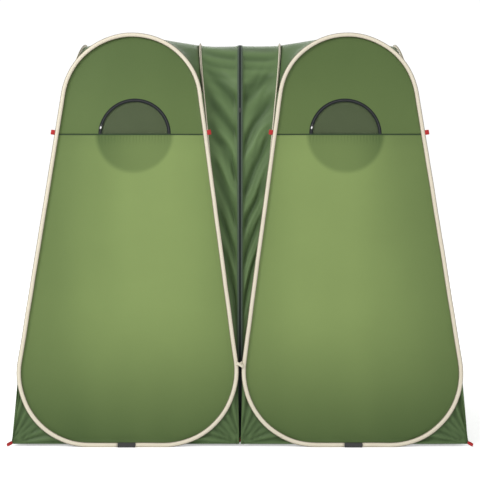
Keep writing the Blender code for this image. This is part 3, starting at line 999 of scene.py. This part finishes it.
def roof_top(room, rim, rings):
    """The rings of the flat top, shrinking to its middle with a shallow sag, and the middle point."""
    centre = Vector((room * ROOM_CENTRE, 0, sum(p.z for p in rim) / len(rim)))
    wide = max(abs(p.x - centre.x) for p in rim)
    deep = max(abs(p.y) for p in rim)
    points = []
    for k in range(1, rings):
        f = 1 - k / rings
        for p in rim:
            q = centre.lerp(p, f)
            across, along = ((q.x - centre.x) / wide) ** 2, (q.y / deep) ** 2
            q.z -= ROOF_SAG * max(0.0, 1 - across) * max(0.0, 1 - along)
            q.z += 0.004 * (1 - f) * noise.noise(Vector((q.x * 9, q.y * 9, 2.0)))
            points.append(q)
    return points, centre - Vector((0, 0, ROOF_SAG))


def build_roof(room, word):
    """One curved sheet from the round hoop tops to the flat top, sagging a little between them."""
    east, west = ("outer", "inner") if room > 0 else ("inner", "outer")
    panels = [PANELS[word, side] for side in ("front", east, "back", west)]
    rows, rings = 30, 12
    inner = PANELS[word, "inner"]
    sides = [p for i in range(rows + 1) for p in roof_ring(room, panels, inner.tilt, i / rows)]
    per = 2 * len(panels) * ROOF_SPAN
    top, middle = roof_top(room, sides[-per:], rings)
    light = [0.50 + 0.28 * noise.noise(Vector((p.x * 6, p.y * 6, p.z * 9))) for p in sides]
    light += [0.6] * (len(top) + 1)
    points = sides + top + [middle]
    faces = grid_faces(rows + rings, per, wrap=True)
    last = (rows + rings - 1) * per
    faces += [(last + j, last + (j + 1) % per, len(points) - 1) for j in range(per)]
    obj = make(f"{word}_roof_cloth", points, faces, M_SHELL, glow=light, coords=[(p.x, p.y) for p in points])
    weld(obj)
    fix_normals(obj)
    thicken(obj, FABRIC_THICK)
    finish_piece(obj, "middle", "shell", f"{word}_roof")
    anchor = inner.at(0, inner.height * 0.93)
    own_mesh(obj)


def weld(obj, distance=1e-5):
    shape = bmesh.new()
    shape.from_mesh(obj.data)
    bmesh.ops.remove_doubles(shape, verts=shape.verts, dist=distance)
    shape.to_mesh(obj.data)
    shape.free()


# ---------------------------------------------------------------- the middle

def cover_profile():
    """(y, z) points over the passage from the front ground to the back ground."""
    panel = PANELS["right", "inner"]
    rise, base_z, inset = panel.up.z, panel.origin.z, 0.002
    radius = panel.radius - inset
    half = CORNER_CENTRE + radius
    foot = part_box("passage_cover")[0].z + 0.001
    knee = base_z + panel.low * rise
    path = [(-half, foot + (knee - foot) * i / 40) for i in range(40)]
    bend = arc((CORNER_CENTRE, panel.low), radius, 0, panel.tilt, 6)
    dome = arc((0, panel.high), radius, panel.tilt, math.pi - panel.tilt, 96)
    climb = bend + [lerp2(bend[-1], dome[0], i / 130) for i in range(1, 130)]
    up = [(-u, base_z + v * rise) for u, v in climb]
    over = [(-u, base_z + v * rise) for u, v in dome]
    return path + up + over + [(-y, z) for y, z in reversed(path + up)]


def ridge(phase, sharpness):
    """A fold's height from 0 in its valley to 1 on its crest."""
    return 1 - abs(math.sin(phase)) ** sharpness


def gathers(x, z, top, side):
    """Folds in the passage cover: across near its flat top, then slanting down towards the middle seam."""
    down = top - z
    near_top = 1 - smooth(down, 0.03, 0.24)
    stray = noise.noise(Vector((x * 5.0, z * 3.0, side * 3.3)))
    slant = down * 15.0 + x * (17.0 + 42.0 * smooth(down, 0.1, 1.2))
    broad = ridge(slant + 2.2 * stray, 2.6)
    fine = ridge(slant * 2.3 + 3.0 * noise.noise(Vector((x * 9, z * 6, side + 5.0))), 2.2)
    gate = 0.5 + 0.5 * noise.noise(Vector((x * 4.0 + 7, z * 4.5, side * 1.9)))
    level = ridge(down * 62.0 + x * 6.0 * side + 1.5 * stray, 2.0)
    slanted = broad * (0.35 + 0.75 * gate) + 0.30 * fine * gate
    return slanted * (1 - near_top) + (0.25 + 0.5 * level) * near_top


def profile_outward(profile):
    """The outward direction at each (y, z) point of a line."""
    directions = []
    for i in range(len(profile)):
        before, after = profile[max(0, i - 1)], profile[min(len(profile) - 1, i + 1)]
        directions.append(Vector((0, before[1] - after[1], after[0] - before[0])).normalized())
    return directions


def build_cover(profile):
    """The passage cover, gathered between the two inner hoops and drawn in along its middle seam."""
    panel = PANELS["right", "inner"]
    top = max(z for _, z in profile)
    columns = 84
    grid = []
    travelled = 0.0
    for i, ((y, z), outward) in enumerate(zip(profile, profile_outward(profile))):
        if i:
            travelled += math.dist(profile[i], profile[i - 1])
        half = max(0.010, abs(panel.at(0, (z - panel.origin.z) / panel.up.z).x) - 0.004)
        room_for = smooth(half, 0.01, 0.12)
        row = []
        for j in range(columns + 1):
            share = 2 * j / columns - 1
            x = share * half
            hold = (1 - abs(share) ** 8) * smooth(abs(x), 0.006, 0.030)
            crest = gathers(abs(x), z, top, 1 if share > 0 else 2)
            slack = 0.010 * 4 * abs(share) * (1 - abs(share)) + 0.018 * (1 - crest) * hold
            slack *= room_for * (0.22 + 0.78 * smooth(top - z, 0.01, 0.12))
            # Painted light and shade: brighter on the folds' crests, darker in their valleys.
            glow = 0.72 + 0.95 * (crest - 0.60) * hold * room_for
            row.append((Vector((x, y, z)) - outward * (slack + 0.001), glow, (x, travelled)))
        grid.append(row)
    finish_piece(cloth_sheet("passage_cloth", grid, M_SHELL), "middle", "shell", "passage_cover")


def build_centre_zip(profile):
    """The green tape and the black zip down the front of the passage cover, with its slider."""
    top = max(z for _, z in profile)
    front = [(y, z) for y, z in profile if y < 0 and z < top - 0.004]
    across = Vector((1, 0, 0))
    for name, half, thick, material, lift, nodes in (
            ("centre_tape", 0.0125, 0.0012, M_TAPE, 0.0015, ()),
            ("centre_zip_tape", 0.0044, 0.0024, M_ZIP, 0.0023, ("centre_zip",))):
        frames = [(Vector((0, y, z)) + outward * lift, across, outward)
                  for (y, z), outward in zip(front, profile_outward(front))]
        finish_piece(sweep(name, frames, oval(half, thick / 2, 12, 6), material), "middle", "zip", *nodes)
    build_slider("centre_zip_slider", PANELS["left", "front"], M_BLACK, "slider_black")


def build_divider():
    """The curtain between the rooms, hanging in soft upright folds."""
    low, high, _ = spans("divider_curtain")
    panel = PANELS["right", "inner"]
    rows, columns = 60, 48
    grid = []
    for i in range(rows + 1):
        t = i / rows
        z = low.z + (high.z - low.z) * (0.4 * t + 0.6 * math.sin(t * math.pi / 2))
        v = (z - panel.origin.z) / panel.up.z
        width = max(0.004, panel.width(max(v, panel.low)) - 0.012)
        room_for = max(0.0, abs(panel.at(0, v).x) - 0.014)
        row = []
        for j in range(columns + 1):
            s = 2 * j / columns - 1
            y = s * width
            fold = min(0.014, room_for * 0.7) * math.sin(y * 42 + noise.noise(Vector((y * 3, z, 1.0))))
            row.append((Vector((fold * (1 - s ** 4) * (1 - smooth(t, 0.9, 1.0)), y, z)), 0.4, (y, z)))
        grid.append(row)
    finish_piece(cloth_sheet("divider_cloth", grid, M_SHELL), "middle", "shell", "divider_curtain")


# ---------------------------------------------------------------- webbing

def strap_loop(centre, first, second, side, steps):
    """Frames round most of an oval whose two half axes are first and second."""
    frames = []
    for i in range(steps + 1):
        a = math.radians(-165 + 330 * i / steps)
        tangent = second * math.cos(a) - first * math.sin(a)
        lift = tangent.normalized().cross(side).normalized()
        frames.append((centre + first * math.cos(a) + second * math.sin(a), side, lift))
    return frames


def build_peg_loop(node, body, turn):
    """A folded strap of red webbing with its flat sides upright, open for a stake."""
    out = Vector((math.cos(turn), math.sin(turn), -0.30)).normalized()
    flat = Vector((-math.sin(turn), math.cos(turn), 0))
    centre = sum(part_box(node), Vector()) / 2 - out * 0.002
    frames = strap_loop(centre, out * 0.0135, flat * 0.0042, out.cross(flat), 24)
    finish_piece(sweep(node + "_strap", frames, oval(0.0066, 0.0008, 10, 5), M_RED), body, "webbing", node)


def build_guy_tab(node, panel, side):
    """A red tab folded over the sleeve at a hoop's shoulder."""
    out = panel.across * (side * math.cos(panel.tilt)) + panel.up * math.sin(panel.tilt)
    across = out.cross(panel.normal).normalized()
    centre = sum(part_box(node), Vector()) / 2
    frames = strap_loop(centre, out * 0.0095, panel.normal * 0.0034, across, 20)
    strap = sweep(node + "_strap", frames, oval(0.0115, 0.0007, 10, 5), M_RED)
    finish_piece(strap, panel.body, "webbing", node)


def build_tie():
    """The cream tape knotted round the two front sleeves where they meet."""
    low, high, _ = spans("hoop_tie")
    centre = Vector((0, low.y + 0.012, (low.z + high.z) / 2))
    side = Vector((0, 0, 1))
    frames = []
    for i in range(40):
        a = 2 * math.pi * i / 40
        spot = centre + Vector((0.0175 * math.cos(a), 0.0105 * math.sin(a), 0.006 * math.sin(a * 2)))
        tangent = Vector((-0.0175 * math.sin(a), 0.0105 * math.cos(a), 0.012 * math.cos(a * 2)))
        frames.append((spot, side, tangent.normalized().cross(side).normalized()))
    obj = sweep("front_tie", frames, oval(0.0075, 0.0007, 10, 4), M_TIE, closed=True)
    finish_piece(obj, "middle", "sleeve", "hoop_tie")


# ---------------------------------------------------------------- build everything

for panel_of_hoop in PANELS.values():
    build_hoop(panel_of_hoop)
    build_corner_strips(panel_of_hoop)
for room_sign, room_word in ROOMS:
    fore, aft, outside = (PANELS[room_word, side] for side in ("front", "back", "outer"))
    build_front(fore)
    build_back(aft)
    build_outer(outside)
    build_roof(room_sign, room_word)
    for walled in (fore, aft, outside):
        build_skirts(walled)
    build_peg_loop(f"{room_word}_front_peg_loop", fore.body, math.radians(-90 + 50 * room_sign))
    build_peg_loop(f"{room_word}_back_peg_loop", aft.body, math.radians(90 - 50 * room_sign))
    build_guy_tab(f"{room_word}_outer_guy_loop", fore, room_sign)
    build_guy_tab(f"{room_word}_inner_guy_loop", fore, -room_sign)
cover_line = cover_profile()
build_cover(cover_line)
build_centre_zip(cover_line)
build_divider()
build_tie()
build_peg_loop("front_centre_peg_loop", "middle", math.radians(-110))
build_peg_loop("back_centre_peg_loop", "middle", math.radians(90))

for name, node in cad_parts.items():
    if name.endswith("_ferrule"):
        node.data.materials.clear()
        node.data.materials.append(M_BLACK)


# ---------------------------------------------------------------- stage

def white_floor():
    """A pale floor that reads as white from the camera, with a soft shadow under the tent."""
    n = Nodes("pale_floor")
    seen = n.add("ShaderNodeLightPath").outputs["Is Camera Ray"]
    return n.surface({
        "Base Color": (0.92, 0.92, 0.92),
        "Roughness": 0.9,
        "Specular IOR Level": 0.1,
        "Emission Color": (1.0, 1.0, 1.0),
        "Emission Strength": n.math("MULTIPLY", seen, 0.42)})


def white_world():
    """Even light from all round, and plain white behind the tent."""
    world = bpy.data.worlds.new("studio")
    world.use_nodes = True
    tree = world.node_tree
    seen = tree.nodes.new("ShaderNodeLightPath")
    level = tree.nodes.new("ShaderNodeMapRange")
    level.inputs["To Min"].default_value = WORLD_LIGHT
    level.inputs["To Max"].default_value = 1.05
    tree.links.new(seen.outputs["Is Camera Ray"], level.inputs["Value"])
    tree.links.new(level.outputs["Result"], tree.nodes["Background"].inputs["Strength"])
    tree.nodes["Background"].inputs["Color"].default_value = (1, 1, 1, 1)
    bpy.context.scene.world = world


def add_area(name, spot, size, power, aim):
    light = bpy.data.lights.new(name, "AREA")
    light.shape = "RECTANGLE"
    light.size, light.size_y = size
    light.energy = power
    obj = bpy.data.objects.new(name, light)
    obj.location = spot
    obj.rotation_euler = (aim - Vector(spot)).to_track_quat("-Z", "Y").to_euler()
    bpy.context.scene.collection.objects.link(obj)


def build_stage():
    low, high = cad_box
    z, reach = low.z - 0.0005, 30.0
    mesh = bpy.data.meshes.new("floor")
    corners = [(-reach, -reach, z), (reach, -reach, z), (reach, reach, z), (-reach, reach, z)]
    mesh.from_pydata(corners, [], [(0, 1, 2, 3)])
    floor = bpy.data.objects.new("floor", mesh)
    bpy.context.scene.collection.objects.link(floor)
    mesh.materials.append(white_floor())
    white_world()
    middle = (low + high) / 2
    add_area("key", (-3.4, -3.6, 4.4), (1.8, 1.8), 150, middle)
    add_area("fill", (3.4, -3.8, 2.4), (3.0, 3.0), 22, middle)
    add_area("rim", (0.0, 4.5, 3.6), (3.5, 2.0), 70, middle)


def build_camera():
    """Straight on and level at eye height, shifted down to take in the whole tent."""
    front_foot = spans("left_front_hoop")[0].y + SLEEVE_RADIUS
    camera = bpy.data.cameras.new("camera")
    camera.sensor_width = 36.0
    camera.lens = 36.0 * 2.02
    camera.shift_y = -0.2274
    obj = bpy.data.objects.new("camera", camera)
    obj.location = (0.0, front_foot - 4.447, 1.45)
    obj.rotation_euler = (math.pi / 2, 0, 0)
    bpy.context.scene.collection.objects.link(obj)
    bpy.context.scene.camera = obj


build_stage()
build_camera()
bpy.context.scene.view_settings.view_transform = "Standard"
